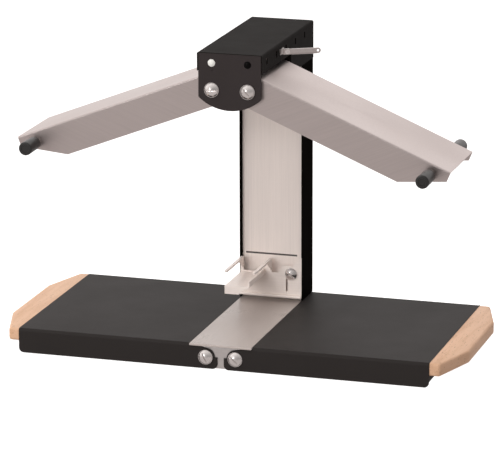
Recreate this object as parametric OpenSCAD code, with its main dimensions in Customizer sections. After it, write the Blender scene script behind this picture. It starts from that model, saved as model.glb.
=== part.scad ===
// Folding two-arm raclette melter: a black head on a stainless-fronted column,
// two hinged heater hoods, and a base of two fold-down wings with beech end grips.
// Frame: X along the wings, Y towards the back, Z up, origin under the middle of the base.

/* [Base wings] */
// Length of a wing, from the centre line to the end of its panel
wing_l = 340; // [300:1:410]
// Depth of the base, front to back
base_d = 344; // [320:1:414]
// Height of the wing tops above the table
base_h = 40; // [38:0.5:48]
// Thickness of the base, bracket and hood sheet
sheet = 1.5; // [1.2:0.1:2]
// Outer bend radius along the long edges of a wing
wing_bend_r = 5; // [3:0.5:8]
// Radius of the free lower corners of a wing
wing_corner_r = 8; // [4:1:14]
// Depth of the turned-down flange at the outer end of a wing
end_flange_h = 31; // [25:1:34]

/* [Wing hinges] */
// Distance of each wing pivot from the centre line
wing_pivot_x = 24.5; // [24:0.5:30]
// Height of the wing pivots above the table
wing_pivot_z = 19; // [18.5:0.5:23]
// Radius of the lug over the pivot, clear of the strip lip
lug_top_r = 14.5; // [14:0.5:16]
// Reach of the lug past the pivot, which stops the folded wing under the strip
lug_reach = 19; // [18:0.5:19]
// Radius of the lug's lower inner corner
lug_corner_r = 8; // [6:0.5:12]
// Slope of the lug's shoulder
lug_slope = 14; // [10:1:20]
// Diameter of every pivot bolt
bolt_d = 10; // [8:0.5:12]
// Diameter of a domed bolt head
bolt_head_d = 24; // [18:0.5:25]
// Height of a domed bolt head
bolt_head_h = 8; // [4:0.5:9]

/* [Centre strip] */
// Width of the stainless strip between the wings
strip_w = 102.5; // [90:0.5:104]
// Height of the rolled lip at the front of the strip
lip_h = 3.1; // [2:0.1:3.4]
// Width of the channel that carries the strip and the column
channel_w = 86; // [80:1:86]

/* [End grips] */
// How far the middle of a beech grip stands out from its wing
grip_out = 43.5; // [35:0.5:55]
// How far the ends of a grip stand out from its wing
grip_end = 17; // [12:0.5:25]
// Length of the straight middle of a grip
grip_flat = 168; // [120:1:220]
// Thickness of a grip
grip_t = 21; // [18:0.5:26]

/* [Column] */
// Width of the column and of the head
col_w = 107; // [105:0.5:118]
// Distance of the column's front edges behind the centre of the base
col_front = 106; // [100:1:112]
// Thickness of the black column and head sheet
shell_t = 1.2; // [1:0.1:1.5]
// How far the stainless panel sits back between the column's edges
panel_recess = 10; // [6:1:12]
// Height of the groove across the panel, above the table
slot_z = 115; // [105:1:135]
// Length of the groove across the panel
slot_l = 88; // [70:1:92]
// Height of the groove itself
slot_h = 3; // [1.5:0.1:4]
// Depth of the groove in the panel
slot_depth = 0.8; // [0.5:0.1:1]

/* [Head] */
// Overall height of the object
overall_h = 500; // [480:1:600]
// How far the head reaches in front of the centre of the base
head_reach = 118; // [108:1:142]
// Depth of the side skirts over the arms
skirt_h = 30; // [22:1:32]
// Height of the closed rear of the head
rear_h = 62; // [58:1:74]
// Width of the front plate
plate_w = 102.6; // [92:0.2:103]
// Height of the front plate at its middle
plate_h = 92; // [88:1:104]
// Radius of the front plate's lower edge
plate_arc_r = 75; // [65:1:95]
// Pitch of the vents along the head
vent_pitch = 53; // [40:1:54]
// Height of a vent
vent_h = 10; // [7:0.5:11]
// Width of a vent
vent_w = 6; // [4:0.5:9]
// Depth of the top of the vents below the top of the head
vent_drop = 9; // [6:0.5:14]

/* [Arms] */
// Distance of each arm pivot from the centre line
arm_pivot_x = 29.4; // [29.4:0.2:33]
// Depth of the arm pivots below the top of the head
arm_pivot_drop = 59.7; // [59:0.1:66]
// Angle of the right arm below level at rest
drop_right = 22.8; // [5:0.2:45]
// Angle of the left arm below level at rest
drop_left = 21.2; // [5:0.2:45]
// Length of an arm, from its pivot to its tip
arm_l = 343; // [286:1:352]
// Width of an arm, front to back
arm_w = 147; // [130:1:150]
// Height of an arm's top face above its pivot
arm_top = 26.5; // [24:0.5:28]
// Depth of an arm's lower edge below its pivot
arm_low = 26; // [22:0.5:27]
// Length of the slanted cut under the tip
tip_cut_l = 71; // [50:1:90]
// Height of the side flange left at the tip
tip_h = 16.5; // [12:0.5:24]
// Bend radius along the long edges of an arm
arm_bend_r = 3; // [2:0.5:5]

/* [Arm knobs] */
// Distance of the knobs from the pivot, along the arm
knob_u = 315; // [255:1:325]
// Height of the knobs above the pivot, square to the arm
knob_v = 9.5; // [8:0.5:14]
// Diameter of a knob's grip
knob_d = 22; // [16:0.5:25]
// Length of a knob's grip
knob_l = 43; // [35:1:58]
// Length of the collar between hood and grip
collar_l = 10; // [5:0.5:14]
// Diameter of the collar
collar_d = 12; // [10:0.5:14]

/* [Heating element] */
// Diameter of the tubular element
rod_d = 8; // [6.5:0.1:9]
// Distance between the two legs of the element
rod_gap = 84; // [70:1:96]
// Length of the element from the end web to its bend
rod_l = 262; // [210:1:266]

/* [Rest bracket] */
// Height of the bracket's shelf above the table
shelf_z = 85; // [80:1:92]
// Reach of the shelf in front of the bracket plate
shelf_reach = 94; // [78:1:100]
// Width of the shelf
shelf_w = 41; // [34:1:42]
// Height of the two prongs above the shelf
prong_rise = 25; // [20:1:28]
// Reach of the prongs in front of the bracket plate
prong_reach = 92; // [76:1:98]
// Diameter of the clamp screw's head
clamp_head_d = 21; // [16:0.5:22]

/* [Latch lever] */
// Distance of the lever behind the centre of the base, negative to the front
latch_y = -13; // [-20:1:5]
// Length of the lever past its pivot
latch_l = 54.5; // [46:0.5:68]
// Height of the lever
latch_h = 9; // [7:0.5:11]
// Angle of the lever towards the back
latch_turn = 28.4; // [20:0.2:35]

/* [Hidden] */
$fn = 64;

// Clearances: fit is a shaft in its hole, gap is between pieces that pass each other
fit = 0.05;
gap = 0.3;
cut = 1;

// Levels and planes shared between pieces
strip_low = base_h - sheet;
channel_top = strip_low;
channel_d = base_d - 2 * sheet - 2 * 0.6;
channel_foot = 1;
col_back = base_d / 2;
col_side = col_w / 2;
col_in = col_side - shell_t;
rear_z = overall_h - rear_h;
floor_z = rear_z - sheet;
plate_back = -head_reach + sheet;
arm_front = plate_back + 5.8;
arm_back = arm_front + arm_w;
bulkhead_y = arm_back + 3.7;
arm_pivot_z = overall_h - arm_pivot_drop;
panel_y = col_front + panel_recess;
bracket_y = col_front - sheet;
bolt_r = bolt_d / 2;
hole_r = bolt_r + fit;
nut_h = 6;
nut_w = bolt_d * 1.7;

// Lamps on the front plate
lamp_x = 29.5;
lamp_z = overall_h - 16.5;
lamp_r = 6;
lamp_shank_r = 4.8;

// Small dimple under the left lamp
dimple_x = -lamp_x + 2;
dimple_z = lamp_z - 12.5;
dimple_r = 3.5;
dimple_d = 0.9;

// Rest bracket, seen from the front
plate_left = -52;
plate_right = 53;
bracket_low = base_h + 6;
prong_z = shelf_z + prong_rise;
shelf_left = -50;
clamp_x = 35.5;
clamp_z = shelf_z + 1;
clamp_r = 4;
slit_w = 2.8;

// Back of the object
switch_x = 25;
switch_z = overall_h - 30;
rocker_tilt = 7;
rocker_h = 22;
rocker_w = 11;
inlet_z = base_h + 60;
inlet_flange = [50, 3, 25];
inlet_body = [27, 24, 19.5];
inlet_screw_x = 20;
cable_r = 4;
cable_y = col_back - shell_t - inlet_body[1] - 12;
block_y = 84;

// Where an arm's top face starts, and the web that carries the element
plate_start = -12;
web_u = 28;
rod_v = -3;
rod_mid = (arm_front + arm_back) / 2;
clip_us = [web_u + 0.2 * rod_l, web_u + 0.75 * rod_l];
reflector_v = 12;

// ---------- helpers ----------

module on_side(side) {
    mirror([side < 0 ? 1 : 0, 0, 0]) children();
}

// Places a piece drawn along +X, with its pivot at the origin, as an arm at rest
module as_arm(side) {
    on_side(side)
    translate([arm_pivot_x, 0, arm_pivot_z])
    rotate([0, side < 0 ? drop_left : drop_right, 0])
    children();
}

// A cylinder along +Y from y0 to y1
module y_rod(y0, y1, r) {
    translate([0, y0, 0]) rotate([-90, 0, 0]) cylinder(r = r, h = y1 - y0);
}

// A plate of thickness t drawn in X and Z, with its front face at y
module xz_plate(y, t) {
    translate([0, y + t, 0]) rotate([90, 0, 0]) linear_extrude(t) children();
}

// A rectangle w by h standing on the axis, with its two upper corners rounded
module arch_2d(w, h, r) {
    translate([-w / 2, 0]) square([w, h - r]);
    translate([-w / 2 + r, 0]) square([w - 2 * r, h]);
    for (s = [-1, 1]) translate([s * (w / 2 - r), h - r]) circle(r);
}

// The section of a sheet folded down along both long edges
module channel_2d(w, h, t, r) {
    difference() {
        arch_2d(w, h, r);
        translate([0, -cut]) arch_2d(w - 2 * t, h - t + cut, r - t);
    }
}

// A slotted domed head of diameter d, on a low rim, reaching h in front of y = 0
module domed_head(d, h, slot_turn) {
    rim = 1.5;
    cap_r = d / 2 - 0.4;
    rise = h - rim;
    ball_r = (pow(cap_r, 2) + pow(rise, 2)) / (2 * rise);
    difference() {
        union() {
            intersection() {
                translate([0, ball_r - h, 0]) sphere(ball_r, $fn = 96);
                y_rod(-h - cut, -rim, d);
            }
            y_rod(-rim, 0, d / 2);
        }
        rotate([0, slot_turn, 0]) translate([-d / 2, -h - cut, -1.1]) cube([d, cut + 3.2, 2.2]);
    }
}

// Pivot bolt along +Y: domed head outside y = 0, shank of length l inside
module domed_bolt(l, slot_turn) {
    domed_head(bolt_head_d, bolt_head_h, slot_turn);
    y_rod(-0.5, l, bolt_r);
}

module hex_nut(y, h, bore) {
    difference() {
        translate([0, y, 0]) rotate([-90, 0, 0]) cylinder(d = nut_w, h = h, $fn = 6);
        y_rod(y - cut, y + h + cut, bore);
    }
}

// A small pan-head screw along +Y, with its head outside y = 0
module pan_screw(l, r) {
    difference() {
        y_rod(-1.6, 0, 2 * r);
        translate([-r, -1.6 - cut, -0.3]) cube([2 * r, cut + 0.8, 0.6]);
    }
    y_rod(-0.5, l, r);
}

// ---------- base ----------

module base_channel() {
    color("silver")
    difference() {
        translate([-channel_w / 2, 0, channel_foot])
        rotate([90, 0, 90]) linear_extrude(channel_w)
        channel_2d(channel_d, channel_top - channel_foot, sheet, 4);
        for (s = [-1, 1])
            translate([s * wing_pivot_x, 0, wing_pivot_z]) y_rod(-base_d / 2, base_d / 2, hole_r);
        foot_bolt_holes();
    }
}

module foot_bolt_holes() {
    for (x = foot_xs, y = foot_ys) translate([x, y, 0]) cylinder(r = foot_r + fit, h = base_h + 10);
}

foot_xs = [-32, 32];
foot_ys = [panel_y + 14, col_back - 12];
foot_r = 3;
foot_t = 3;
foot_w = 2 * (col_in - shell_t - 2 * gap);

module centre_strip() {
    lip_y = -base_d / 2 - gap - sheet;
    color("gainsboro")
    difference() {
        translate([-strip_w / 2, 0, 0]) rotate([90, 0, 90]) linear_extrude(strip_w)
        difference() {
            union() {
                translate([lip_y + sheet, strip_low]) square([col_back - lip_y - sheet, sheet]);
                translate([lip_y + sheet, base_h - sheet]) circle(sheet);
                translate([lip_y, base_h - lip_h]) square([sheet, lip_h - sheet]);
            }
            translate([lip_y + sheet, strip_low - 2 * sheet]) square([2 * sheet, 2 * sheet]);
        }
        foot_bolt_holes();
    }
}

module column_foot_plate() {
    color("silver")
    difference() {
        translate([-foot_w / 2, panel_y + shell_t + gap, base_h])
        cube([foot_w, col_back - 2 * shell_t - panel_y - 2 * gap, foot_t]);
        foot_bolt_holes();
    }
}

module foot_bolts() {
    color("darkgray")
    for (x = foot_xs, y = foot_ys) translate([x, y, 0]) {
        translate([0, 0, channel_top - sheet - 6]) cylinder(r = foot_r, h = foot_t + 2 * sheet + 6 + 0.5);
        translate([0, 0, base_h + foot_t]) cylinder(d = 4 * foot_r, h = 3);
        translate([0, 0, channel_top - sheet - 5]) difference() {
            cylinder(r = 1.8 * foot_r, h = 5, $fn = 6);
            translate([0, 0, -cut]) cylinder(r = foot_r - fit, h = 5 + 2 * cut);
        }
    }
}

module wing_panel(side) {
    inner = strip_w / 2 + 0.5;
    color("dimgray")
    on_side(side)
    difference() {
        union() {
            translate([inner, 0, 0]) rotate([90, 0, 90]) linear_extrude(wing_l - inner)
            channel_2d(base_d, base_h, sheet, wing_bend_r);
            translate([wing_l - sheet, -base_d / 2 + sheet / 2, base_h - end_flange_h])
            cube([sheet, base_d - sheet, end_flange_h - sheet / 2]);
            for (y = [-base_d / 2, base_d / 2 - sheet]) xz_plate(y, sheet) wing_lug_2d(inner + cut);
        }
        for (s = [0, 1]) mirror([0, s, 0]) xz_plate(-base_d / 2 - cut, 2 * sheet + cut)
        translate([wing_l - wing_corner_r, 0]) difference() {
            translate([0, -cut]) square([wing_corner_r + cut, wing_corner_r + cut]);
            translate([0, wing_corner_r]) circle(wing_corner_r);
        }
        for (y = grip_screw_ys) translate([wing_l, y, grip_screw_z]) rotate([0, -90, 0])
        translate([0, 0, -cut]) cylinder(r = grip_screw_r + fit, h = sheet + 2 * cut);
        translate([wing_pivot_x, 0, wing_pivot_z]) y_rod(-base_d / 2 - cut, base_d / 2 + cut, hole_r);
    }
}

// The end of a wing flange around its pivot, out to x = end, with a shoulder that rises outwards
module wing_lug_2d(end) {
    x0 = wing_pivot_x - lug_reach;
    high = strip_low - 0.5;
    rise = high - wing_pivot_z;
    flat_x = wing_pivot_x + (rise - lug_top_r / cos(lug_slope)) / tan(lug_slope);
    polygon([
        [wing_pivot_x, 0], [end, 0], [end, high], [flat_x, high],
        [wing_pivot_x - lug_top_r * sin(lug_slope), wing_pivot_z + lug_top_r * cos(lug_slope)],
        [wing_pivot_x, wing_pivot_z]
    ]);
    translate([wing_pivot_x, wing_pivot_z]) circle(lug_top_r);
    translate([x0, lug_corner_r]) square([wing_pivot_x - x0, wing_pivot_z - lug_corner_r]);
    translate([x0 + lug_corner_r, 0]) square([wing_pivot_x - x0 - lug_corner_r, wing_pivot_z]);
    translate([x0 + lug_corner_r, lug_corner_r]) circle(lug_corner_r);
}

grip_screw_ys = [-110, 0, 110];
grip_screw_z = base_h - 0.5 - grip_t / 2;
grip_screw_r = 2;

module end_grip(side) {
    half = base_d / 2 - 1.5;
    color("burlywood")
    on_side(side)
    difference() {
        translate([0, 0, base_h - 0.5 - grip_t]) linear_extrude(grip_t)
        polygon([
            [wing_l, -half], [wing_l + grip_end, -half], [wing_l + grip_out, -grip_flat / 2],
            [wing_l + grip_out, grip_flat / 2], [wing_l + grip_end, half], [wing_l, half]
        ]);
        for (y = grip_screw_ys) translate([wing_l - cut, y, grip_screw_z]) rotate([0, 90, 0])
        cylinder(r = grip_screw_r + fit, h = 12 + cut);
    }
}

module grip_screws(side) {
    color("silver")
    on_side(side)
    for (y = grip_screw_ys) translate([wing_l - sheet, y, grip_screw_z]) rotate([0, 0, -90])
    pan_screw(12, grip_screw_r);
}

module wing_pivot_bolts() {
    color("lightgray")
    for (s = [-1, 1], back = [0, 1]) rotate([0, 0, 180 * back])
    translate([s * wing_pivot_x, -base_d / 2 - gap, wing_pivot_z]) domed_bolt(14, s < 0 ? 60 : 40);
}

module wing_pivot_nuts() {
    color("silver")
    for (s = [-1, 1], back = [0, 1]) rotate([0, 0, 180 * back])
    translate([s * wing_pivot_x, 0, wing_pivot_z]) hex_nut(-channel_d / 2 + sheet, nut_h, hole_r);
}

// ---------- column ----------

module column_shell() {
    low = base_h + 0.6;
    color("black")
    difference() {
        translate([0, col_front, low]) linear_extrude(rear_z - low)
        channel_2d(col_w, col_back - col_front, shell_t, 2.5);
        translate([0, 0, inlet_z]) {
            translate([-inlet_body[0] / 2 - 0.2, col_back - shell_t - cut, -inlet_body[2] / 2 - 0.2])
            cube([inlet_body[0] + 0.4, shell_t + 2 * cut, inlet_body[2] + 0.4]);
            for (s = [-1, 1]) translate([s * inlet_screw_x, 0, 0])
            y_rod(col_back - shell_t - cut, col_back + cut, 1.75 + fit);
        }
    }
}

module column_panel() {
    low = base_h + 0.6;
    w = 2 * (col_in - 0.1);
    color("gainsboro")
    difference() {
        translate([0, panel_y, low]) linear_extrude(floor_z - 0.1 - low)
        mirror([0, 1]) translate([0, -14]) channel_2d(w, 14, shell_t, 2.4);
        translate([-slot_l / 2 - 1.5, panel_y - cut, slot_z - slot_h / 2])
        cube([slot_l, slot_depth + cut, slot_h]);
        translate([clamp_x, 0, clamp_z]) y_rod(panel_y - cut, panel_y + 4, clamp_r + fit);
    }
}

// ---------- head ----------

module head_shell() {
    side_l = col_back + head_reach;
    color("black")
    difference() {
        union() {
            translate([0, col_back, 0]) rotate([90, 0, 0]) linear_extrude(side_l)
            translate([0, rear_z]) channel_2d(col_w, rear_h, shell_t, 3);
            for (s = [-1, 1])
            translate([s * (col_in - 4), col_back - 2 * shell_t - 0.05, overall_h - rear_h / 2])
            cube([8 + shell_t, shell_t, rear_h - 8], center = true);
        }
        translate([-col_w, -head_reach - cut, rear_z - cut])
        cube([2 * col_w, head_reach + bulkhead_y + sheet + cut, rear_h - skirt_h + cut]);
        for (i = [-2:2]) translate([0, vent_mid + i * vent_pitch, overall_h - vent_drop - vent_h / 2])
        cube([2 * col_w, vent_w, vent_h], center = true);
        for (p = back_screw_ps) translate(p) y_rod(-6, cut, back_screw_r + fit);
    }
}

vent_mid = (col_back - head_reach) / 2 - 13;
back_screw_r = 1.7;
back_screw_ps = [for (x = [-1, 1], z = [0.2, 0.8]) [x * (col_in - 5), col_back, rear_z + z * rear_h]];

// Outline of the front plate and of the bulkhead, in X and Z
module head_plate_2d(top) {
    low = overall_h - plate_h;
    intersection() {
        translate([0, low]) arch_2d(plate_w, top - low, 2);
        union() {
            translate([0, low + plate_arc_r]) circle(plate_arc_r, $fn = 128);
            translate([-plate_w / 2, low + plate_arc_r]) square([plate_w, plate_h]);
        }
    }
}

module head_front_plate() {
    color("black")
    difference() {
        xz_plate(-head_reach, sheet) head_plate_2d(overall_h - shell_t - 0.05);
        for (s = [-1, 1]) {
            translate([s * arm_pivot_x, 0, arm_pivot_z]) y_rod(-head_reach - cut, plate_back + cut, hole_r);
            translate([s * lamp_x, 0, lamp_z])
            y_rod(-head_reach - cut, plate_back + cut, lamp_shank_r + fit);
        }
        translate([dimple_x, -head_reach - dimple_r + dimple_d, dimple_z]) sphere(dimple_r);
    }
}

module head_bulkhead() {
    color("black")
    difference() {
        xz_plate(bulkhead_y, sheet) head_plate_2d(overall_h - shell_t - 0.05);
        for (s = [-1, 1])
            translate([s * arm_pivot_x, 0, arm_pivot_z]) y_rod(bulkhead_y - cut, bulkhead_y + 4, hole_r);
    }
}

module head_floor() {
    y0 = bulkhead_y + sheet;
    color("black")
    difference() {
        translate([-col_in + 0.1, y0, floor_z]) cube([2 * col_in - 0.2, col_back - 3 - y0, sheet]);
        for (s = [-1, 1]) translate([s * arm_pivot_x - nut_w / 2 - 1, y0 - cut, floor_z - cut])
        cube([nut_w + 2, nut_h + 4 + cut, sheet + 2 * cut]);
        translate([0, cable_y, floor_z - cut]) cylinder(r = grommet_r, h = sheet + 2 * cut);
    }
}

grommet_r = cable_r + 2.5;

module cable_grommet() {
    color("black")
    translate([0, cable_y, floor_z])
    difference() {
        union() {
            translate([0, 0, -1.5]) cylinder(r = grommet_r + 2.5, h = 1.5);
            cylinder(r = grommet_r - fit, h = sheet);
            translate([0, 0, sheet]) cylinder(r = grommet_r + 2.5, h = 1.5);
        }
        translate([0, 0, -1.5 - cut]) cylinder(r = cable_r + fit, h = sheet + 3 + 2 * cut);
    }
}

module head_back_plate() {
    color("black")
    difference() {
        translate([0, 0, rear_z + 0.1]) xz_plate(col_back - shell_t, shell_t)
        arch_2d(2 * col_in - 0.2, rear_h - shell_t - 0.2, 2);
        for (p = back_screw_ps) translate(p) y_rod(-shell_t - cut, cut, back_screw_r + fit);
        for (s = [-1, 1]) translate([s * switch_x, col_back, switch_z])
        cube([switch_cut[0], 6, switch_cut[1]], center = true);
    }
}

switch_cut = [15.4, 27.4];
switch_bezel = [18, 2, 30];

module back_screws() {
    color("silver")
    for (p = back_screw_ps) translate(p) rotate([0, 0, 180]) pan_screw(6, back_screw_r);
}

module pilot_lamp(side) {
    ball_r = (pow(lamp_r, 2) + 4) / 4;
    color(side < 0 ? "white" : "darkred")
    translate([side * lamp_x, -head_reach, lamp_z]) {
        intersection() {
            translate([0, ball_r - 2, 0]) sphere(ball_r);
            y_rod(-2, 0, lamp_r);
        }
        y_rod(-0.5, 12, lamp_shank_r);
    }
}

module arm_pivot_bolts() {
    color("lightgray")
    for (s = [-1, 1]) translate([s * arm_pivot_x, -head_reach, arm_pivot_z])
    domed_bolt(head_reach + bulkhead_y + sheet + nut_h + 3, s < 0 ? 0 : 45);
}

module arm_pivot_nuts() {
    color("silver")
    for (s = [-1, 1]) translate([s * arm_pivot_x, 0, arm_pivot_z])
    hex_nut(bulkhead_y + sheet, nut_h, hole_r);
}

module arm_spacers() {
    color("darkgray")
    for (s = [-1, 1], span = [[plate_back, arm_front - gap], [arm_back + gap, bulkhead_y]])
        translate([s * arm_pivot_x, 0, arm_pivot_z])
        difference() {
            y_rod(span[0], span[1], bolt_r + 4);
            y_rod(span[0] - cut, span[1] + cut, hole_r);
        }
}

// ---------- rest bracket at the foot of the column ----------

module rest_bracket() {
    color("gainsboro")
    difference() {
        union() {
            xz_plate(bracket_y, sheet) bracket_plate_2d();
            bracket_lip();
            bracket_shelf();
            prong(plate_left + 0.2, 5.8);
            prong(shelf_left + 43, 9);
        }
        translate([clamp_x, 0, clamp_z]) y_rod(bracket_y - cut, bracket_y + sheet + cut, clamp_r + fit);
        translate([clamp_x - 9, bracket_y - cut, bracket_low + 10]) cube([slit_w, sheet + 2 * cut, 21]);
    }
}

module bracket_plate_2d() {
    polygon([
        [plate_left, bracket_low], [plate_right, bracket_low], [plate_right, shelf_z + 29],
        [plate_right - 4, shelf_z + 29], [plate_right - 15, shelf_z + 14.5],
        [clamp_x - 14, shelf_z + 14.5], [clamp_x - 23, shelf_z + 2], [plate_left, shelf_z + 2]
    ]);
}

// The rolled lip along the bottom of the bracket
module bracket_lip() {
    lip = 2.2;
    translate([plate_left, bracket_y - 6 + lip, bracket_low + lip]) {
        rotate([0, 90, 0]) cylinder(r = lip, h = plate_right - plate_left);
        translate([0, 0, -lip]) cube([plate_right - plate_left, 6 - lip, sheet]);
        translate([0, 0, lip - sheet]) cube([plate_right - plate_left, 6 - lip, sheet]);
    }
}

module bracket_shelf() {
    y0 = bracket_y - shelf_reach;
    translate([shelf_left, y0, shelf_z - sheet]) cube([shelf_w, shelf_reach + 0.5, sheet]);
    translate([shelf_left, bracket_y, shelf_z - sheet]) cube([shelf_w, sheet, 3]);
    translate([shelf_left + shelf_w - sheet, y0 + 4, shelf_z - sheet]) cube([sheet, shelf_reach - 3.5, 9]);
    xz_plate(y0, sheet) polygon([
        [shelf_left, shelf_z], [shelf_left, shelf_z - 13.5], [shelf_left + 24, shelf_z - 13.5],
        [shelf_left + 26, shelf_z - 9], [shelf_left + shelf_w, shelf_z - 1], [shelf_left + shelf_w, shelf_z]
    ]);
}

// One prong: a leg that rises from the plate and a bar that reaches forward from its top
module prong(x, leg_w) {
    bar_w = 5;
    bar_h = 3;
    translate([x, bracket_y, shelf_z]) cube([leg_w, sheet, prong_rise]);
    translate([x + leg_w - bar_w, bracket_y - prong_reach + bar_w / 2, prong_z - bar_h])
    cube([bar_w, prong_reach + sheet - bar_w / 2, bar_h]);
    translate([x + leg_w - bar_w / 2, bracket_y - prong_reach + bar_w / 2, prong_z - bar_h])
    cylinder(d = bar_w, h = bar_h);
    translate([x + leg_w - sheet, bracket_y + sheet, 0]) rotate([90, 0, -90]) translate([0, 0, -sheet])
    linear_extrude(sheet)
    polygon([[0, prong_z - bar_h + 0.5], [0, shelf_z + 4], [sheet + 24, prong_z - bar_h + 0.5]]);
}

module clamp_screw() {
    color("lightgray")
    translate([clamp_x, bracket_y, clamp_z]) {
        domed_head(clamp_head_d, 6, 45);
        y_rod(-0.5, panel_y - bracket_y + shell_t + 8, clamp_r);
    }
}

module clamp_spacer() {
    color("silver")
    translate([clamp_x, 0, clamp_z]) {
        difference() {
            y_rod(bracket_y + sheet, panel_y, clamp_r + 3);
            y_rod(bracket_y, panel_y + cut, clamp_r + fit);
        }
        hex_nut(panel_y + shell_t, 5, clamp_r + fit);
    }
}

// ---------- latch lever on the right of the head ----------

latch_out = 9.5;
latch_z = overall_h - 14;
latch_pin_r = 2;
ear_t = 2;

// Places a piece drawn along +X, with its face towards -Y, on the latch pivot
module as_latch() {
    translate([col_side + latch_out, latch_y, latch_z]) rotate([0, 0, latch_turn]) children();
}

module latch_bracket() {
    color("silver")
    difference() {
        union() {
            translate([col_side, latch_y - 10, latch_z - latch_h / 2]) cube([sheet, 20, latch_h]);
            as_latch() intersection() {
                translate([-20, gap, -latch_h / 2]) cube([24, ear_t, latch_h]);
                rotate([0, 0, -latch_turn]) translate([-latch_out, -50, -50]) cube([100, 100, 100]);
            }
        }
        as_latch() y_rod(-cut, ear_t + cut + gap, latch_pin_r + fit);
    }
}

module latch_screw() {
    color("lightgray")
    as_latch() {
        translate([0, -sheet - 0.2, 0]) pan_screw(sheet + 0.2 + gap + ear_t + 3, latch_pin_r);
        hex_nut_small();
    }
}

module hex_nut_small() {
    translate([0, gap + ear_t, 0]) rotate([-90, 0, 0]) difference() {
        cylinder(r = 3.6, h = 2.2, $fn = 6);
        translate([0, 0, -cut]) cylinder(r = latch_pin_r - fit, h = 2.2 + 2 * cut);
    }
}

module latch_lever() {
    fold = 3;
    root = 6;
    end = latch_l - latch_h / 2;
    color("gainsboro")
    as_latch()
    difference() {
        union() {
            xz_plate(-sheet, sheet) {
                translate([-root, -latch_h / 2]) square([root + end, latch_h]);
                translate([end, 0]) circle(latch_h / 2);
            }
            for (z = [-latch_h / 2, latch_h / 2 - 1.2])
                translate([7, -fold, z]) cube([end - 9, fold - 0.5, 1.2]);
        }
        y_rod(-sheet - cut, cut, latch_pin_r + fit);
        translate([end, 0, 0]) y_rod(-sheet - cut, cut, 2);
    }
}

// ---------- electrical pieces ----------

module mains_inlet() {
    color("black")
    translate([0, col_back, inlet_z])
    difference() {
        union() {
            translate([-inlet_flange[0] / 2, 0, -inlet_flange[2] / 2]) cube(inlet_flange);
            translate([-inlet_body[0] / 2, -inlet_body[1], -inlet_body[2] / 2])
            cube([inlet_body[0], inlet_body[1] + 1, inlet_body[2]]);
        }
        translate([-12, -17, -8]) cube([24, 17 + inlet_flange[1] + cut, 16]);
        for (x = [-7, 0, 7]) translate([x - 1 - fit, -inlet_body[1] - cut, (x == 0 ? 2 : -2) - 2 - fit])
        cube([2 + 2 * fit, inlet_body[1], 4 + 2 * fit]);
        for (s = [-1, 1]) translate([s * inlet_screw_x, 0, 0])
        y_rod(-cut, inlet_flange[1] + cut, 1.75 + fit);
    }
}

module inlet_pins() {
    color("goldenrod")
    translate([0, col_back, inlet_z])
    for (x = [-7, 0, 7]) translate([x - 1, -inlet_body[1] - 6, (x == 0 ? 2 : -2) - 2]) cube([2, 22, 4]);
}

module inlet_screws() {
    color("silver")
    for (s = [-1, 1]) translate([s * inlet_screw_x, col_back + inlet_flange[1], inlet_z])
    rotate([0, 0, 180]) pan_screw(inlet_flange[1] + shell_t + 5, 1.75);
}

module switch_housings() {
    color("dimgray")
    for (s = [-1, 1]) translate([s * switch_x, col_back, switch_z])
    difference() {
        union() {
            translate([-switch_bezel[0] / 2, 0, -switch_bezel[2] / 2]) cube(switch_bezel);
            translate([-switch_cut[0] / 2 + 0.1, -18, -switch_cut[1] / 2 + 0.1])
            cube([switch_cut[0] - 0.2, 19, switch_cut[1] - 0.2]);
        }
        translate([-rocker_w / 2 - gap, -8, -rocker_h / 2 - 1.2])
        cube([rocker_w + 2 * gap, 8 + switch_bezel[1] + cut, rocker_h + 2.4]);
        translate([-switch_cut[0] / 2 + 1, -2, 0]) rotate([0, 90, 0])
        cylinder(r = 1.2 + fit, h = switch_cut[0] - 2);
    }
}

// The rocker rests with its lower end out, and tips about a pin across its middle
module rocker(side) {
    h = rocker_h / 2;
    color("darkred")
    translate([side * switch_x, col_back - 2, switch_z]) rotate([rocker_tilt, 0, 0]) {
        translate([-rocker_w / 2, 0, 0]) rotate([90, 0, 90]) linear_extrude(rocker_w)
        polygon([[-3, -h], [5, -h], [3.6, 0], [5, h], [-3, h]]);
        translate([-switch_cut[0] / 2 + 1.3, 0, 0]) rotate([0, 90, 0])
        cylinder(r = 1.2, h = switch_cut[0] - 2.6);
    }
}

module terminal_block() {
    color("ivory")
    translate([-30, block_y, rear_z])
    difference() {
        cube([60, 18, 14]);
        for (x = [6:12:54]) translate([x, 4.5, 14 - 5]) cylinder(r = 2, h = 6);
        for (x = [6:12:54]) translate([x, 13.5, 14 - 5]) cylinder(r = 2, h = 6);
    }
}

// The fixed cable from the inlet, up the column, to the terminal block
module mains_harness() {
    y1 = col_back - inlet_body[1] - 6;
    z1 = rear_z + 7;
    color("white")
    union() {
        translate([0, 0, inlet_z]) y_rod(cable_y, y1, cable_r);
        translate([0, cable_y, inlet_z]) sphere(cable_r);
        translate([0, cable_y, inlet_z]) cylinder(r = cable_r, h = z1 - inlet_z);
        translate([0, cable_y, z1]) sphere(cable_r);
        translate([0, 0, z1]) y_rod(block_y + 18, cable_y, cable_r);
    }
}

// ---------- arms ----------

// Side view of an arm, in X and Z from its pivot: round below the pivot, cut up at the tip
module arm_side_2d() {
    difference() {
        polygon([
            [-arm_low, -arm_low], [-arm_low, arm_low / 2], [plate_start, arm_top], [arm_l, arm_top],
            [arm_l, arm_top - tip_h], [arm_l - tip_cut_l, -arm_low]
        ]);
        difference() {
            translate([-arm_low - cut, -arm_low - cut]) square(arm_low + cut);
            circle(arm_low, $fn = 96);
        }
    }
}

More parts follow.
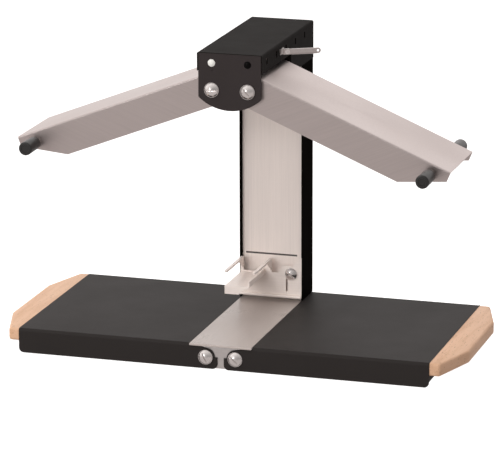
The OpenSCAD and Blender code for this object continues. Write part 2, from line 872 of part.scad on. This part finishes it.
module hood(side) {
    color("gainsboro")
    as_arm(side)
    difference() {
        intersection() {
            translate([-arm_low, rod_mid, -arm_low - cut])
            rotate([90, 0, 90]) linear_extrude(arm_l + arm_low)
            channel_2d(arm_w, arm_top + arm_low + cut, sheet, arm_bend_r);
            xz_plate(arm_front - cut, arm_w + 2 * cut) arm_side_2d();
        }
        y_rod(arm_front - cut, arm_back + cut, hole_r);
        translate([knob_u, 0, knob_v]) y_rod(arm_front - cut, arm_back + cut, 3 + fit);
    }
}

module end_web(side) {
    color("gray")
    as_arm(side)
    difference() {
        translate([web_u, arm_front + sheet, -arm_low + 6])
        cube([sheet, arm_w - 2 * sheet, arm_low - 6 + arm_top - sheet - arm_bend_r]);
        rod_legs(web_u - cut, 2 * cut + sheet, rod_d / 2 + fit);
    }
}

// The two straight legs of the element, from u along the arm
module rod_legs(u, l, r) {
    for (s = [-1, 1]) translate([u, rod_mid + s * rod_gap / 2, rod_v]) rotate([0, 90, 0])
    cylinder(r = r, h = l);
}

module reflector(side) {
    w = arm_w - 2 * sheet - 4;
    color("whitesmoke")
    as_arm(side)
    difference() {
        translate([web_u + sheet + 1, rod_mid, reflector_v - 8])
        rotate([90, 0, 90]) linear_extrude(arm_l - web_u - sheet - 1 - 36)
        channel_2d(w, 9, 1, 2);
        for (u = clip_us) translate([u, rod_mid, 0]) cylinder(r = 2 + fit, h = reflector_v + 3);
    }
}

module heating_element(side) {
    color("slategray")
    as_arm(side) {
        rod_legs(web_u - 14, rod_l + 14 - rod_gap / 2, rod_d / 2);
        translate([web_u + rod_l - rod_gap / 2, rod_mid, rod_v]) rotate([0, 0, -90])
        rotate_extrude(angle = 180) translate([rod_gap / 2, 0]) circle(d = rod_d, $fn = 32);
    }
}

// Clips that hang the element's legs from the reflector and the hood
module element_clips(side) {
    color("silver")
    as_arm(side)
    for (u = clip_us) difference() {
        union() {
            translate([u - 6, rod_mid - rod_gap / 2 - 8, rod_v - rod_d / 2 - 2])
            cube([12, rod_gap + 16, 1.5]);
            for (s = [-1, 1]) translate([u - 6, rod_mid + s * rod_gap / 2 - 6, rod_v - rod_d / 2 - 2])
            cube([12, 12, rod_d + 4]);
            translate([u, rod_mid, rod_v - rod_d / 2 - 1])
            cylinder(r = 2, h = arm_top - sheet + rod_d / 2 + 1 - rod_v);
        }
        rod_legs(u - 10, 20, rod_d / 2 + fit);
    }
}

module pivot_tube(side) {
    color("silver")
    as_arm(side)
    difference() {
        y_rod(arm_front + sheet, arm_back - sheet, bolt_r + 3);
        y_rod(arm_front, arm_back, hole_r);
    }
}

module knob_collars(side) {
    color("lightgray")
    as_arm(side)
    for (s = [0, 1]) translate([knob_u, rod_mid, knob_v]) rotate([0, 0, 180 * s]) {
        y_rod(-arm_w / 2 - collar_l, -arm_w / 2, collar_d / 2);
        y_rod(-arm_w / 2 - 1, -arm_w / 2 + sheet + 6, 3);
        difference() {
            translate([0, -arm_w / 2 + sheet, 0]) rotate([-90, 0, 0]) cylinder(r = 5.5, h = 4, $fn = 6);
            y_rod(-arm_w / 2, -arm_w / 2 + sheet + 5, 3 - fit);
        }
    }
}

// A turned grip with a rounded outer end
module knob_grips(side) {
    edge = 3;
    r = knob_d / 2;
    color("black")
    as_arm(side)
    for (s = [0, 1]) translate([knob_u, rod_mid, knob_v]) rotate([0, 0, 180 * s])
    translate([0, -arm_w / 2 - collar_l, 0]) rotate([90, 0, 0])
    rotate_extrude() {
        square([r, knob_l - edge]);
        square([r - edge, knob_l]);
        translate([r - edge, knob_l - edge]) intersection() {
            circle(edge);
            square(edge);
        }
    }
}

// ---------- the nodes ----------

base_channel();
centre_strip();
column_foot_plate();
foot_bolts();
column_shell();
column_panel();
head_shell();
head_front_plate();
head_bulkhead();
head_floor();
head_back_plate();
back_screws();
pilot_lamp(-1);  // pilot_lamp_left
pilot_lamp(1);  // pilot_lamp_right
arm_pivot_bolts();
arm_pivot_nuts();
arm_spacers();
wing_pivot_bolts();
wing_pivot_nuts();
rest_bracket();
clamp_screw();
clamp_spacer();
latch_bracket();
latch_screw();
mains_inlet();
inlet_pins();
inlet_screws();
switch_housings();
terminal_block();
mains_harness();
cable_grommet();
wing_panel(-1);  // wing_panel_left
end_grip(-1);  // end_grip_left
grip_screws(-1);  // grip_screws_left
wing_panel(1);  // wing_panel_right
end_grip(1);  // end_grip_right
grip_screws(1);  // grip_screws_right
hood(-1);  // hood_left
end_web(-1);  // end_web_left
reflector(-1);  // reflector_left
heating_element(-1);  // heating_element_left
element_clips(-1);  // element_clips_left
pivot_tube(-1);  // pivot_tube_left
knob_collars(-1);  // knob_collars_left
knob_grips(-1);  // knob_grips_left
hood(1);  // hood_right
end_web(1);  // end_web_right
reflector(1);  // reflector_right
heating_element(1);  // heating_element_right
element_clips(1);  // element_clips_right
pivot_tube(1);  // pivot_tube_right
knob_collars(1);  // knob_collars_right
knob_grips(1);  // knob_grips_right
latch_lever();
rocker(-1);  // rocker_left
rocker(1);  // rocker_right
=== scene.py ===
import math

import bmesh
import bpy
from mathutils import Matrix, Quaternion, Vector


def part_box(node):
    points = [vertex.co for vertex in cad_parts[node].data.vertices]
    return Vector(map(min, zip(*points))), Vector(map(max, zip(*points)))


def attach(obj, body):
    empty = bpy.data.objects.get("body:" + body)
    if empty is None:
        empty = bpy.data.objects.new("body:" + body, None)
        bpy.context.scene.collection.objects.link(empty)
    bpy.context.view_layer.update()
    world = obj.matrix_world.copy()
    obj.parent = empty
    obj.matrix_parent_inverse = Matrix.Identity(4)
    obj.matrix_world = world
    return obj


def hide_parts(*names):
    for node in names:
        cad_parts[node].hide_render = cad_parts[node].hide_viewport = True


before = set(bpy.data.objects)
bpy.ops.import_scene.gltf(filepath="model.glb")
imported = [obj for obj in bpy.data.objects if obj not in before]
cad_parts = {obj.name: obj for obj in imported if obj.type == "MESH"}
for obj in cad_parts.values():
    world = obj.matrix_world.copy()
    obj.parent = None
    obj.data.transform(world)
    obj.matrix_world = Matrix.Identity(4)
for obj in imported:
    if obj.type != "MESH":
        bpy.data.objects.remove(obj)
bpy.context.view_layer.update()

# camera and studio

cameraSettings = {
    "position": (1.6210, -5.3002, 1.6567),  # metres, in the object's frame
    "target": (-0.00313, 0.0, 0.19409),
    "lens": 255.6,  # mm
    "sensor": 36,  # mm wide
    "roll": -0.138,  # degrees
    "farthest": 60,
}


def placeCamera(settings):
    position = Vector(settings["position"])
    aim = (Vector(settings["target"]) - position).to_track_quat("-Z", "Y")
    bpy.ops.object.camera_add(location=position)
    camera = bpy.context.object
    camera.name = "studioCamera"
    camera.rotation_mode = "QUATERNION"
    camera.rotation_quaternion = aim @ Quaternion((0, 0, 1), math.radians(settings["roll"]))
    camera.data.sensor_width = settings["sensor"]
    camera.data.lens = settings["lens"]
    camera.data.clip_end = settings["farthest"]
    bpy.context.scene.camera = camera


studioSettings = {
    "backdropColour": (1.0, 1.0, 1.0),
    "roomColour": (1.0, 0.965, 0.95),  # what the metal sees around it
    "roomLean": (-0.60, 0.60, 0.45),  # the room is brightest this way: left, back and up
    "roomSpan": (-0.75, 0.80),  # where along that lean it is darkest and brightest
    "roomDark": 0.30,
    "roomBright": 1.06,
    "floorHeight": -0.42,  # low enough for the folded wings to hang clear
    "floorSize": 40.0,
    "floorColours": ((0.93, 0.93, 0.93), (0.95, 0.95, 0.95)),
    "floorGrain": 3.0,
    "floorGlow": 0.42,
    "floorMirrored": (0.52, 0.485, 0.475),  # the floor as the metal sees it
    "tableHeight": -0.0004,  # a clear plane that the base stands on
    "tableSize": 2.4,
    "shadeReach": 0.045,  # metres of soft shade where the base meets its table plane
    "shadeDepth": 0.32,
    "shadeColour": (0.25, 0.24, 0.24),
    "shadeSamples": 12,
    "lights": [
        # name, place, aimed at, width, power, seen in metal
        ("keySoftbox", (-1.6, -1.8, 2.8), (0, 0, 0.2), 2.2, 34, False),
        ("backSoftbox", (0.4, 2.4, 2.6), (0, 0, 0.3), 2.6, 22, False),
        ("frontSoftbox", (-0.9, -3.0, 0.9), (0, 0, 0.2), 1.8, 32, False),
        ("frontCard", (-1.1, -2.6, 1.1), (0, 0, 0.3), 0.6, 6, True),
    ],
}


def addNode(tree, kind, sockets=None, **properties):
    # adds one shader node; a socket's value is a number, a colour or another node's output
    node = tree.nodes.new("ShaderNode" + kind)
    for name, value in properties.items():
        setattr(node, name, value)
    for name, value in (sockets or {}).items():
        if isinstance(value, bpy.types.NodeSocket):
            tree.links.new(value, node.inputs[name])
        else:
            node.inputs[name].default_value = value
    return node


def withAlpha(colour):
    return (*colour, 1.0)


def buildWorld(scene, settings):
    # plain behind the object; to the metal, a room that fades from bright on one side to dark on the other
    world = bpy.data.worlds.new("studioWorld")
    scene.world = world
    world.use_nodes = True
    tree = world.node_tree
    tree.nodes.clear()
    seen = addNode(tree, "Background", {"Color": withAlpha(settings["backdropColour"]), "Strength": 1.0})
    place = addNode(tree, "TexCoord").outputs["Generated"]
    lean = addNode(tree, "VectorMath", {0: place, 1: settings["roomLean"]}, operation="DOT_PRODUCT")
    darkest, brightest = settings["roomSpan"]
    fade = addNode(tree, "MapRange", {
        "Value": lean.outputs["Value"], "From Min": darkest, "From Max": brightest,
        "To Min": settings["roomDark"], "To Max": settings["roomBright"]})
    room = addNode(tree, "Background", {
        "Color": withAlpha(settings["roomColour"]), "Strength": fade.outputs[0]})
    direct = addNode(tree, "LightPath").outputs["Is Camera Ray"]
    both = addNode(tree, "MixShader", {0: direct, 1: room.outputs[0], 2: seen.outputs[0]})
    addNode(tree, "OutputWorld", {"Surface": both.outputs[0]})


def addPlane(name, size, height, material):
    bpy.ops.mesh.primitive_plane_add(size=size, location=(0, 0, height))
    plane = bpy.context.object
    plane.name = name
    plane.data.materials.append(material)
    return plane


def buildStudio(settings):
    scene = bpy.context.scene
    scene.view_settings.view_transform = "Standard"
    scene.view_settings.look = "None"
    buildWorld(scene, settings)
    for name, place, target, width, power, mirrored in settings["lights"]:
        bpy.ops.object.light_add(type="AREA", location=place)
        light = bpy.context.object
        light.name = name
        light.data.size = width
        light.data.energy = power
        light.visible_camera = False
        light.visible_glossy = mirrored
        light.rotation_mode = "QUATERNION"
        light.rotation_quaternion = (Vector(target) - Vector(place)).to_track_quat("-Z", "Y")

    floor = addPlane("studioFloor", settings["floorSize"], settings["floorHeight"], floorMaterial(settings))
    table = addPlane(
        "tablePlane", settings["tableSize"], settings["tableHeight"], contactShadeMaterial(settings))


def emptyMaterial(name):
    material = bpy.data.materials.new(name)
    material.use_nodes = True
    material.node_tree.nodes.clear()
    return material, material.node_tree


def floorMaterial(settings):
    # pale and matt from above, clear from below, and a quiet grey in reflections
    material, tree = emptyMaterial("paleFloor")
    grain = addNode(tree, "TexNoise", {"Scale": settings["floorGrain"], "Detail": 2.0})
    first, second = [withAlpha(c) for c in settings["floorColours"]]
    tone = addNode(tree, "MixRGB", {0: grain.outputs["Fac"], 1: first, 2: second})
    matt = addNode(tree, "BsdfDiffuse", {"Color": tone.outputs[0]})
    glow = addNode(tree, "Emission", {
        "Color": withAlpha(settings["backdropColour"]), "Strength": settings["floorGlow"]})
    lit = addNode(tree, "AddShader", {0: matt.outputs[0], 1: glow.outputs[0]})
    mirrored = addNode(tree, "Emission", {"Color": withAlpha(settings["floorMirrored"]), "Strength": 1.0})
    direct = addNode(tree, "LightPath").outputs["Is Camera Ray"]
    upper = addNode(tree, "MixShader", {0: direct, 1: mirrored.outputs[0], 2: lit.outputs[0]})
    clear = addNode(tree, "BsdfTransparent")
    below = addNode(tree, "NewGeometry").outputs["Backfacing"]
    both = addNode(tree, "MixShader", {0: below, 1: upper.outputs[0], 2: clear.outputs[0]})
    addNode(tree, "OutputMaterial", {"Surface": both.outputs[0]})
    return material


def contactShadeMaterial(settings):
    # a clear plane that darkens softly where something stands on it
    material, tree = emptyMaterial("contactShade")
    near = addNode(
        tree, "AmbientOcclusion", {"Distance": settings["shadeReach"]}, samples=settings["shadeSamples"])
    shade = addNode(tree, "MapRange", {
        "Value": near.outputs["AO"], "From Min": 1.0, "From Max": 0.0,
        "To Min": 0.0, "To Max": settings["shadeDepth"]})
    clear = addNode(tree, "BsdfTransparent")
    dark = addNode(tree, "BsdfDiffuse", {"Color": withAlpha(settings["shadeColour"])})
    both = addNode(tree, "MixShader", {0: shade.outputs[0], 1: clear.outputs[0], 2: dark.outputs[0]})
    addNode(tree, "OutputMaterial", {"Surface": both.outputs[0]})
    return material


placeCamera(cameraSettings)
buildStudio(studioSettings)
print("camera and studio placed")

# finishes


def finishMaterial(name, colour, metallic, specular=0.5, **constants):
    # a finish with no pattern yet: the material, its node tree and its shader
    material, tree = emptyMaterial(name)
    shader = addNode(tree, "BsdfPrincipled", {"Metallic": metallic, "Specular IOR Level": specular})
    shader.inputs["Base Color"].default_value = withAlpha(colour)
    for socket, value in constants.items():
        shader.inputs[socket].default_value = value
    addNode(tree, "OutputMaterial", {"Surface": shader.outputs[0]})
    return material, tree, shader


def objectCoordinates(tree, turn=(0, 0, 0), scale=(1, 1, 1)):
    place = addNode(tree, "TexCoord").outputs["Object"]
    first = addNode(tree, "Mapping", {"Vector": place, "Rotation": [math.radians(a) for a in turn]})
    return addNode(tree, "Mapping", {"Vector": first.outputs["Vector"], "Scale": scale}).outputs["Vector"]


def noiseFac(tree, vector, scale, detail=2.0, roughness=0.5):
    noise = addNode(tree, "TexNoise", {
        "Vector": vector, "Scale": scale, "Detail": detail, "Roughness": roughness})
    return noise.outputs["Fac"]


def ranged(tree, value, low, high, start=0.3, end=0.7):
    # takes the value's span from start to end over to low to high
    node = addNode(tree, "MapRange", {
        "Value": value, "From Min": start, "From Max": end, "To Min": low, "To Max": high})
    return node.outputs[0]


def mixColours(tree, fac, first, second):
    colours = [c if isinstance(c, bpy.types.NodeSocket) else withAlpha(c) for c in (first, second)]
    return addNode(tree, "MixRGB", {0: fac, 1: colours[0], 2: colours[1]}).outputs[0]


def bumpFrom(tree, height, distance, strength):
    return addNode(tree, "Bump", {
        "Height": height, "Distance": distance, "Strength": strength}).outputs[0]


def scaled(colour, share, lift=0.0):
    return [c * share + lift for c in colour]


def maths(tree, operation, *values):
    return addNode(tree, "Math", dict(enumerate(values)), operation=operation).outputs[0]


def connect(tree, shader, **sockets):
    names = {"colour": "Base Color", "roughness": "Roughness", "normal": "Normal"}
    for name, output in sockets.items():
        tree.links.new(output, shader.inputs[names[name]])


def grooveShadeMask(tree, place, grooveShade):
    # 1 within a pressed groove that runs along x, 0 on the open face around it; it masks the painted shade
    # in the groove
    parts = addNode(tree, "SeparateXYZ", {"Vector": place}).outputs
    level = maths(tree, "COMPARE", parts["Z"], grooveShade["height"], grooveShade["halfWidth"])
    deep = maths(tree, "GREATER_THAN", parts["Y"], grooveShade["face"])
    return maths(tree, "MULTIPLY", level, deep)


def brushedSteel(name, colour, grainAlong, turn, dull, smudge=0.06, metal=1.0, grooveShade=None):
    # sheet metal with a fine directional grain along x, y or z, turned about y by so many degrees;
    # a softly blasted sheet scatters light as well, which a metal share below 1 gives
    material, tree, shader = finishMaterial(name, colour, metal, Anisotropic=0.35)
    stretch = {"x": (0.012, 1, 1), "y": (1, 0.012, 1), "z": (1, 1, 0.012)}[grainAlong]
    grainPlace = objectCoordinates(tree, (0, turn, 0), stretch)
    bodyPlace = objectCoordinates(tree)
    fine = noiseFac(tree, grainPlace, 2600.0, 3.0, 0.6)
    broad = noiseFac(tree, grainPlace, 420.0, 2.0)
    cloud = noiseFac(tree, bodyPlace, 7.0, 3.0, 0.55)
    grain = maths(tree, "ADD", fine, broad)
    streaks = mixColours(tree, ranged(tree, grain, 0.0, 1.0, 0.75, 1.3), scaled(colour, 0.90), colour)
    tone = mixColours(tree, ranged(tree, cloud, 0.0, 0.5), streaks, scaled(colour, 1 - smudge))
    # painted shade: where the groove is recessed, the colour is darkened to the groove's shade colour
    if grooveShade:
        tone = mixColours(tree, grooveShadeMask(tree, bodyPlace, grooveShade), tone, grooveShade["colour"])
    rough = maths(tree, "ADD", ranged(tree, cloud, dull[0], dull[1]), ranged(tree, fine, -0.03, 0.03))
    connect(tree, shader, colour=tone, roughness=rough, normal=bumpFrom(tree, grain, 0.00002, 0.5))
    return material


def blackCoat(name, colour, gloss, dull):
    # baked powder coat: a fine orange peel with faint dust and rubbed patches
    material, tree, shader = finishMaterial(name, colour, 0.0, gloss)
    place = objectCoordinates(tree)
    peel = noiseFac(tree, place, 1150.0, 2.0, 0.55)
    rub = noiseFac(tree, place, 11.0, 4.0, 0.6)
    dust = noiseFac(tree, place, 2400.0, 1.0)
    tone = mixColours(tree, ranged(tree, rub, 0.0, 0.5, 0.35, 0.75), colour, scaled(colour, 1.12, 0.0005))
    speck = mixColours(tree, ranged(tree, dust, 0.0, 0.5, 0.74, 0.8), tone, scaled(colour, 1.0, 0.03))
    connect(tree, shader, colour=speck, roughness=ranged(tree, rub, dull[1], dull[0]),
            normal=bumpFrom(tree, peel, 0.00006, 0.6))
    return material


def beechWood(name, pale, dark):
    # oiled steamed beech, its grain along y: long soft lines and the short dark flecks of its rays
    material, tree, shader = finishMaterial(name, pale, 0.0, 0.4)
    grainPlace = objectCoordinates(tree, (0, 0, 1.2), (1, 0.10, 1))
    fleckPlace = objectCoordinates(tree, (0, 0, -1.0), (1, 0.16, 1))
    rings = noiseFac(tree, grainPlace, 95.0, 4.0, 0.6)
    broad = noiseFac(tree, grainPlace, 22.0, 2.0)
    pores = noiseFac(tree, fleckPlace, 620.0, 2.0, 0.6)
    base = mixColours(tree, ranged(tree, broad, 0.0, 0.5), pale, scaled(pale, 0.86))
    lined = mixColours(tree, ranged(tree, rings, 0.0, 0.45, 0.45, 0.72), base, dark)
    flecked = mixColours(tree, ranged(tree, pores, 0.0, 0.75, 0.62, 0.72), lined, scaled(dark, 0.55))
    rise = maths(tree, "ADD", pores, rings)
    connect(tree, shader, colour=flecked, roughness=ranged(tree, rings, 0.42, 0.55),
            normal=bumpFrom(tree, rise, 0.00012, 0.35))
    return material


def turnedSteel(name, colour, dull, mottle=60.0, scratch=0.00002):
    # polished or plated steel: soft mottling and fine scratches
    material, tree, shader = finishMaterial(name, colour, 1.0)
    place = objectCoordinates(tree)
    cloud = noiseFac(tree, place, mottle, 3.0)
    scratches = noiseFac(tree, objectCoordinates(tree, (20, 0, 35), (1, 0.03, 1)), 1800.0, 2.0)
    tone = mixColours(tree, ranged(tree, cloud, 0.0, 0.6), colour, scaled(colour, 0.84))
    connect(tree, shader, colour=tone, roughness=ranged(tree, cloud, dull[0], dull[1]),
            normal=bumpFrom(tree, scratches, scratch, 0.4))
    return material


def heaterSheath(name):
    # oxidised tube: brown-grey with blue and straw heat tints
    material, tree, shader = finishMaterial(name, (0.11, 0.09, 0.08), 0.85)
    place = objectCoordinates(tree)
    cloud = noiseFac(tree, place, 34.0, 4.0, 0.6)
    scale = noiseFac(tree, place, 900.0, 2.0)
    tint = addNode(tree, "ValToRGB", {"Fac": cloud})
    brownGrey, straw, blue = (0.085, 0.070, 0.062), (0.14, 0.105, 0.075), (0.075, 0.078, 0.095)
    ramp = tint.color_ramp.elements
    ramp[0].position, ramp[0].color = 0.30, withAlpha(brownGrey)
    ramp[1].position, ramp[1].color = 0.62, withAlpha(blue)
    ramp.new(0.48).color = withAlpha(straw)
    connect(tree, shader, colour=tint.outputs["Color"], roughness=ranged(tree, cloud, 0.42, 0.62),
            normal=bumpFrom(tree, scale, 0.00005, 0.5))
    return material


def mouldedPlastic(name, colour, dull=(0.30, 0.42), texture=0.00003, peelScale=1600.0, specular=0.5):
    # plastic, rubber and lenses: a faint moulded skin, a little duller where it is handled
    material, tree, shader = finishMaterial(name, colour, 0.0, specular)
    place = objectCoordinates(tree)
    peel = noiseFac(tree, place, peelScale, 2.0)
    handled = noiseFac(tree, place, 40.0, 3.0)
    tone = mixColours(tree, ranged(tree, handled, 0.0, 0.5), colour, scaled(colour, 0.82, 0.004))
    connect(tree, shader, colour=tone, roughness=ranged(tree, handled, dull[0], dull[1]),
            normal=bumpFrom(tree, peel, texture, 0.5))
    return material


finishes = {}


def addFinish(maker, name, *choices, **more):
    finishes[name] = maker(name, *choices, **more)


hoodTone = (0.695, 0.615, 0.594)
rightTilt, leftTilt = 22.8, -21.2  # degrees that the hoods' grain is turned by, as the arms are
# the dark colour below is painted shade inside the panel's groove
panelGrooveShade = {"height": 0.115, "halfWidth": 0.0017, "face": 0.11625, "colour": (0.10, 0.085, 0.078)}

# sheet steel: colour, grain direction, turn, roughness, smudge, metal share, and for the panel the painted
# shade in its groove
addFinish(brushedSteel, "stripSteel", (0.49, 0.427, 0.395), "y", 0.0, (0.26, 0.36), 0.06, 0.15)
# painted light: the panel's and bracket's steel colours are near white, standing in for the light on their
# faces
addFinish(brushedSteel, "panelSteel", (0.99, 0.885, 0.825), "z", 0.0, (0.30, 0.42), 0.03, 0.06, panelGrooveShade)
addFinish(brushedSteel, "bracketSteel", (0.99, 0.89, 0.83), "x", 0.0, (0.26, 0.38), 0.03, 0.06)
addFinish(brushedSteel, "hoodSteelRight", hoodTone, "x", rightTilt, (0.34, 0.46))
addFinish(brushedSteel, "hoodSteelLeft", hoodTone, "x", leftTilt, (0.34, 0.46))
addFinish(brushedSteel, "leverSteel", (0.72, 0.66, 0.64), "x", 0.0, (0.26, 0.36))

# powder coats: colour, gloss, roughness
addFinish(blackCoat, "headCoat", (0.0145, 0.0128, 0.0120), 0.020, (0.52, 0.60))
addFinish(blackCoat, "plateCoat", (0.033, 0.0265, 0.0262), 0.10, (0.48, 0.60))
# painted shade: the column's black coat is made darker than the head's and wings' for its shaded side
addFinish(blackCoat, "columnCoat", (0.0042, 0.0036, 0.0030), 0.001, (0.52, 0.64))
addFinish(blackCoat, "wingCoat", (0.0225, 0.0190, 0.0178), 0.145, (0.54, 0.58))

# wood: pale and dark grain
addFinish(beechWood, "beech", (0.74, 0.46, 0.295), (0.50, 0.27, 0.15))

# fittings: colour, roughness, mottle scale, scratch depth
addFinish(turnedSteel, "polishedSteel", (0.93, 0.88, 0.86), (0.22, 0.34))
addFinish(turnedSteel, "zincSteel", (0.76, 0.72, 0.70), (0.30, 0.45), 140.0, 0.00004)
addFinish(brushedSteel, "brightAluminium", (0.86, 0.87, 0.88), "x", rightTilt, (0.10, 0.18))
addFinish(heaterSheath, "elementSheath")

# plastic and rubber: colour, roughness, skin depth, skin scale
addFinish(mouldedPlastic, "blackPlastic", (0.016, 0.0155, 0.015), (0.26, 0.38))
addFinish(mouldedPlastic, "whitePlastic", (0.72, 0.69, 0.60))
addFinish(mouldedPlastic, "rockerPlastic", (0.20, 0.012, 0.010), (0.18, 0.28))
addFinish(mouldedPlastic, "paleLens", (0.83, 0.82, 0.78), (0.10, 0.18), 0.00002, 900.0)
addFinish(mouldedPlastic, "darkLens", (0.0015, 0.001, 0.001), (0.20, 0.28), 0.00002, 900.0, specular=0.06)
addFinish(turnedSteel, "brassPins", (0.80, 0.60, 0.28), (0.20, 0.34), 200.0)
addFinish(mouldedPlastic, "whiteSleeve", (0.68, 0.67, 0.63), (0.42, 0.55))
addFinish(mouldedPlastic, "blackRubber", (0.020, 0.020, 0.020), (0.55, 0.72), 0.00005, 1100.0)
print("finishes mixed:", len(finishes))

nodesByFinish = {
    "stripSteel": ["centre_strip"],
    "panelSteel": ["column_panel"],
    "bracketSteel": ["rest_bracket"],
    "leverSteel": ["latch_lever"],
    "columnCoat": ["column_shell"],
    "plateCoat": ["head_front_plate"],
    "headCoat": ["head_shell", "head_bulkhead", "head_floor", "head_back_plate"],
    "polishedSteel": ["arm_pivot_bolts", "wing_pivot_bolts", "clamp_screw", "latch_screw"],
    "zincSteel": [
        "base_channel", "column_foot_plate", "foot_bolts", "back_screws", "arm_pivot_nuts", "arm_spacers",
        "wing_pivot_nuts", "clamp_spacer", "latch_bracket", "inlet_screws"],
    "paleLens": ["pilot_lamp_left"],
    "darkLens": ["pilot_lamp_right"],
    "blackPlastic": ["mains_inlet", "switch_housings"],
    "rockerPlastic": ["rocker_left", "rocker_right"],
    "whitePlastic": ["terminal_block"],
    "whiteSleeve": ["mains_harness"],
    "blackRubber": ["cable_grommet"],
    "brassPins": ["inlet_pins"],
}
nodeFinishes = {node: finish for finish, nodes in nodesByFinish.items() for node in nodes}
for side in ("left", "right"):
    nodeFinishes.update({
        f"wing_panel_{side}": "wingCoat", f"end_grip_{side}": "beech", f"grip_screws_{side}": "zincSteel",
        f"hood_{side}": "hoodSteel" + side.capitalize(), f"end_web_{side}": "zincSteel",
        f"reflector_{side}": "brightAluminium", f"heating_element_{side}": "elementSheath",
        f"element_clips_{side}": "zincSteel", f"pivot_tube_{side}": "zincSteel",
        f"knob_collars_{side}": "polishedSteel", f"knob_grips_{side}": "blackPlastic",
    })

for nodeName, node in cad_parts.items():
    node.data.materials.clear()
    node.data.materials.append(finishes[nodeFinishes[nodeName]])
print("finishes put on the carried-over pieces")

# new pieces


def startPiece():
    if bpy.context.object and bpy.context.object.mode != "OBJECT":
        bpy.ops.object.mode_set(mode="OBJECT")
    bpy.ops.object.select_all(action="DESELECT")


def selectWhere(piece, kind, test):
    # in edit mode, selects the "edges" or "faces" for which the test holds
    mesh = bmesh.from_edit_mesh(piece.data)
    for part in (*mesh.verts, *mesh.edges, *mesh.faces):
        part.select = False
    bpy.context.tool_settings.mesh_select_mode = (False, kind == "edges", kind == "faces")
    for part in getattr(mesh, kind):
        if test(part):
            part.select_set(True)
    bmesh.update_edit_mesh(piece.data)


smoothBelow = 32  # degrees


def settlePiece(piece, name, finish, body, node):
    # puts the piece's place, turn and size in its mesh, smooths it, and lets it ride on its body
    bpy.ops.object.mode_set(mode="OBJECT")
    bpy.ops.object.transform_apply(location=True, rotation=True, scale=True)
    bpy.ops.object.shade_smooth_by_angle(angle=math.radians(smoothBelow))
    piece.name = name
    piece.data.name = name
    piece.data.materials.clear()
    piece.data.materials.append(finishes[finish])
    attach(piece, body)
    if node:
        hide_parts(node)


gripSettings = {
    "endReach": 0.017,  # how far the ends stand out from the wing
    "flatLength": 0.168,  # the straight middle of the outer edge
    "edgeRound": 0.0042,
    "edgeSteps": 5,
}


def buildGrip(side, settings):
    # a beech bar with its outer corners cut off, rounded all over but on the face against the wing
    low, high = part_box(f"end_grip_{side}")
    outward = 1 if high.x > 0 else -1
    inner, outer = (low.x, high.x) if outward > 0 else (high.x, low.x)
    startPiece()
    bpy.ops.mesh.primitive_cube_add(size=1, location=(low + high) / 2)
    piece = bpy.context.object
    piece.scale = high - low
    bpy.ops.object.transform_apply(location=True, rotation=True, scale=True)
    bpy.ops.object.mode_set(mode="EDIT")
    rise = abs(outer - inner) - settings["endReach"]
    run = (high.y - low.y - settings["flatLength"]) / 2
    for end in (-1, 1):
        corner = (outer, end * settings["flatLength"] / 2, (low.z + high.z) / 2)
        bpy.ops.mesh.select_all(action="SELECT")
        bpy.ops.mesh.bisect(
            plane_co=corner, plane_no=(outward * run, end * rise, 0), use_fill=True, clear_outer=True)
    selectWhere(piece, "edges", lambda e: any(abs(v.co.x - inner) > 0.0005 for v in e.verts))
    bpy.ops.mesh.bevel(
        offset=settings["edgeRound"], segments=settings["edgeSteps"], profile=0.5, affect="EDGES")
    settlePiece(piece, f"beechGrip_{side}", "beech", f"{side}_wing", f"end_grip_{side}")


for side in ("left", "right"):
    buildGrip(side, gripSettings)
print("beech grips shaped")

knobSettings = {
    "length": 0.043,
    "sides": 48,
    "endRound": 0.0022,
    "roundSteps": 4,
    "capInset": 0.0026,  # the ring round the sunk end cap
    "capStep": 0.0003,
    "capDepth": 0.0008,
    "waist": 0.955,  # the grip narrows a little towards its collar
}


def buildKnobs(side, settings):
    # the turned grips at the front and back of one arm's tip
    low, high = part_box(f"knob_grips_{side}")
    middle = (low + high) / 2
    radius = (high.z - low.z) / 2
    for end, name, node in ((-1, "front", f"knob_grips_{side}"), (1, "back", None)):
        outer = low.y if end < 0 else high.y
        startPiece()
        centre = Vector((middle.x, outer - end * settings["length"] / 2, middle.z))
        bpy.ops.mesh.primitive_cylinder_add(
            vertices=settings["sides"], radius=radius, depth=settings["length"], location=centre,
            rotation=(math.radians(90), 0, 0))
        piece = bpy.context.object
        bpy.ops.object.transform_apply(location=True, rotation=True, scale=True)
        bpy.ops.object.mode_set(mode="EDIT")
        selectWhere(piece, "faces", lambda f: (
            len(f.verts) > 4 and (f.calc_center_median().y - centre.y) * end < 0))
        bpy.ops.transform.resize(value=(settings["waist"], 1, settings["waist"]))
        selectWhere(piece, "edges", lambda e: sum(abs(v.co.y - outer) for v in e.verts) < 1e-5)
        bpy.ops.mesh.bevel(
            offset=settings["endRound"], segments=settings["roundSteps"], profile=0.5, affect="EDGES")
        selectWhere(piece, "faces", lambda f: (
            len(f.verts) > 4 and abs(f.calc_center_median().y - outer) < 1e-4))
        bpy.ops.mesh.inset(thickness=settings["capInset"], depth=0)
        bpy.ops.mesh.inset(thickness=settings["capStep"], depth=-settings["capDepth"])
        settlePiece(piece, f"knobGrip_{side}_{name}", "blackPlastic", f"{side}_arm", node)


for side in ("left", "right"):
    buildKnobs(side, knobSettings)
print("knobs turned")
